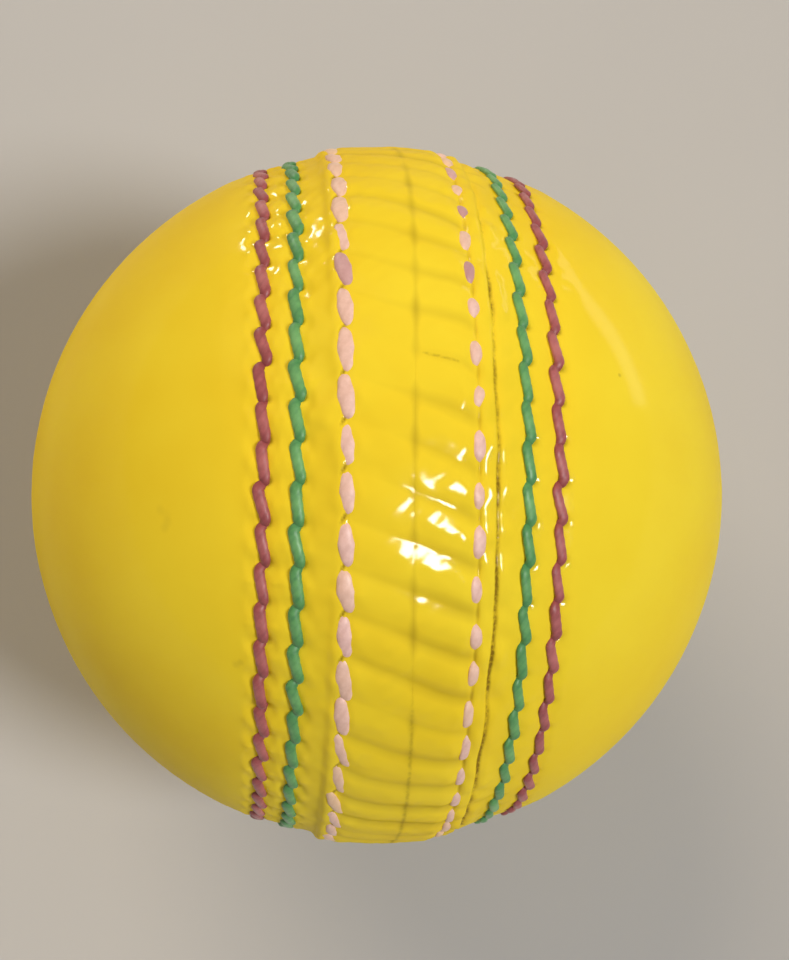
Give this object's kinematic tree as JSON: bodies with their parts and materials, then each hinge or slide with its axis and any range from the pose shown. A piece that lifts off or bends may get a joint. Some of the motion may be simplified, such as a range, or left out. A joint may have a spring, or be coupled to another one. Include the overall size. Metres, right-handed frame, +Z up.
{
  "type": "cricket ball",
  "caption": "Lacquered leather cricket ball of two halves, closed by a raised band of hand stitching with sewn rows beside it, over a wound cork core.",
  "frame": {"origin": "centre of the ball, in the parting plane of its two halves", "axes": "+X along the seam axis towards the right half, +Z up, so that the parting plane is YZ and stands upright"},
  "size_m": [0.072, 0.0726, 0.0726],
  "materials": {
    "yellow_leather": "dyed and lacquered, glossy",
    "lining_leather": "undyed, matt",
    "pink_thread": "waxed hand-sewing thread",
    "green_thread": "waxed sewing thread",
    "maroon_thread": "waxed sewing thread",
    "bobbin_linen": "plain linen thread",
    "cork": "bare granulated cork",
    "twine": "tightly wound wool and linen twine"
  },
  "bodies": {
    "root": {"cork_core": "cork", "inner_winding": "twine", "inner_cork_layer": "cork", "middle_winding": "twine", "outer_cork_layer": "cork", "outer_winding": "twine", "left_cover": "yellow_leather", "right_cover": "yellow_leather", "left_welt": "lining_leather", "right_welt": "lining_leather", "first_closing_thread": "pink_thread", "second_closing_thread": "pink_thread", "left_middle_row_thread": "green_thread", "right_middle_row_thread": "green_thread", "left_outer_row_thread": "maroon_thread", "right_outer_row_thread": "maroon_thread", "left_middle_row_bobbin_thread": "bobbin_linen", "right_middle_row_bobbin_thread": "bobbin_linen", "left_outer_row_bobbin_thread": "bobbin_linen", "right_outer_row_bobbin_thread": "bobbin_linen"}
  },
  "joints": []
}
